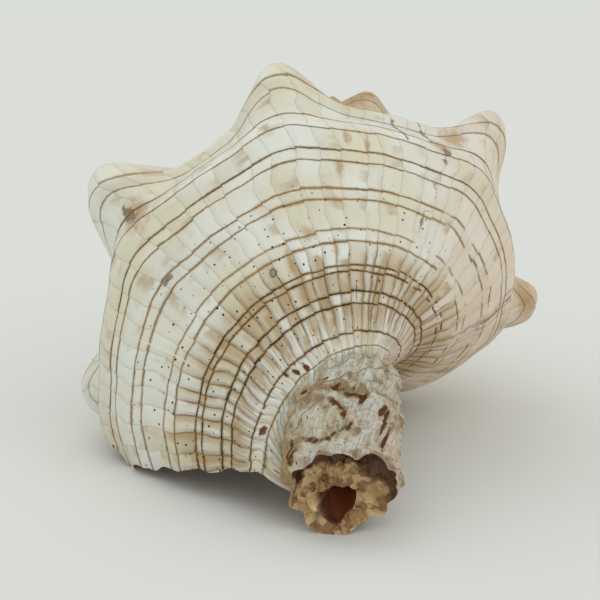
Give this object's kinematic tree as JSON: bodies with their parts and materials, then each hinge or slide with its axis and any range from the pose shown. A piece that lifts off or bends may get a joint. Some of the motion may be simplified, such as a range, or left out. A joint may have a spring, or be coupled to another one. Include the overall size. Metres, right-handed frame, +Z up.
{
  "type": "seashell",
  "caption": "Knobbed spiral sea shell with a pointed spire, a wide open aperture and a worn canal, lying on its aperture.",
  "frame": {"origin": "middle of the shell's footprint, on the surface it lies on", "axes": "+Z up, -Y towards the end of the canal, +Y towards the spire"},
  "size_m": [0.0614, 0.1058, 0.0468],
  "materials": {
    "shell": "satin"
  },
  "bodies": {
    "root": {"shell": "shell"}
  },
  "joints": []
}
